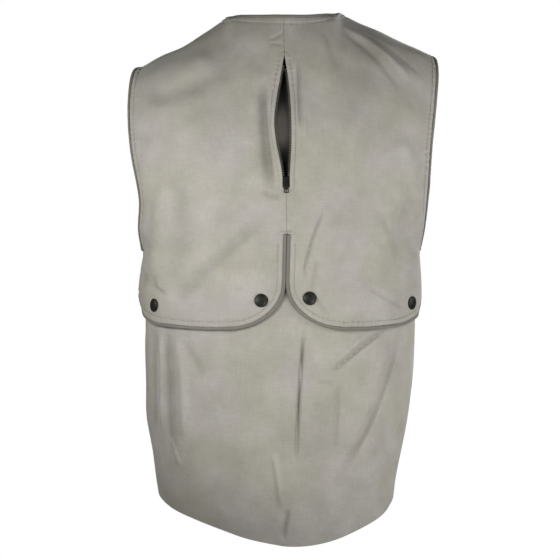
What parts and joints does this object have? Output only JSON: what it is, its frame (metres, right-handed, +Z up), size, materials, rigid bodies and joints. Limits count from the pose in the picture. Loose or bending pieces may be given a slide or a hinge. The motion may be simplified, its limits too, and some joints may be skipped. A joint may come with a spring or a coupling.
{
  "type": "hunting vest",
  "caption": "Sleeveless cotton hunting vest with a caped back, a slit between press-studded flaps over a game pouch, back and front zips and bound edges, open as if worn.",
  "frame": {"origin": "midway between the middles of the two shoulder seams, where the wearer's shoulders carry the vest", "axes": "+Z up, +Y the way the wearer faces, so the back of the vest faces -Y, and +X to the wearer's right"},
  "size_m": [0.4197, 0.2722, 0.7224],
  "materials": {
    "twill": "matt khaki-grey cotton twill",
    "binding": "matt khaki-grey folded tape",
    "lining": "dark grey plain weave",
    "zip_tape": "near-black woven tape with moulded teeth",
    "dark_metal": "near-black enamel, satin"
  },
  "bodies": {
    "vest": {"cape_left": "twill", "cape_right": "twill", "pouch": "twill", "back_lining": "lining", "back_lining_left": "lining", "back_lining_right": "lining", "pouch_lining": "lining", "front_left": "twill", "front_right": "twill", "armhole_binding_left": "binding", "armhole_binding_right": "binding", "neck_binding": "binding", "flap_piping_left": "binding", "flap_piping_right": "binding", "back_zip_tape_left": "zip_tape", "back_zip_tape_right": "zip_tape", "back_zip_slider": "dark_metal", "front_zip_tape": "zip_tape", "front_zip_slider": "dark_metal", "stud_outer_left": "dark_metal", "stud_inner_left": "dark_metal", "stud_inner_right": "dark_metal", "stud_outer_right": "dark_metal"},
    "back_tab": {"back_zip_tab": "dark_metal"},
    "front_tab": {"front_zip_tab": "dark_metal"}
  },
  "joints": [
    {"name": "back_tab_swing", "type": "hinge", "parent": "vest", "child": "back_tab", "pos_m": [0.00257, -0.12385, -0.19893], "axis": [-1, -0.0015, 0], "range_deg": [0, 165]},
    {"name": "front_tab_swing", "type": "hinge", "parent": "vest", "child": "front_tab", "pos_m": [0, 0.12967, -0.18097], "axis": [1, 0, 0], "range_deg": [0, 165]}
  ]
}
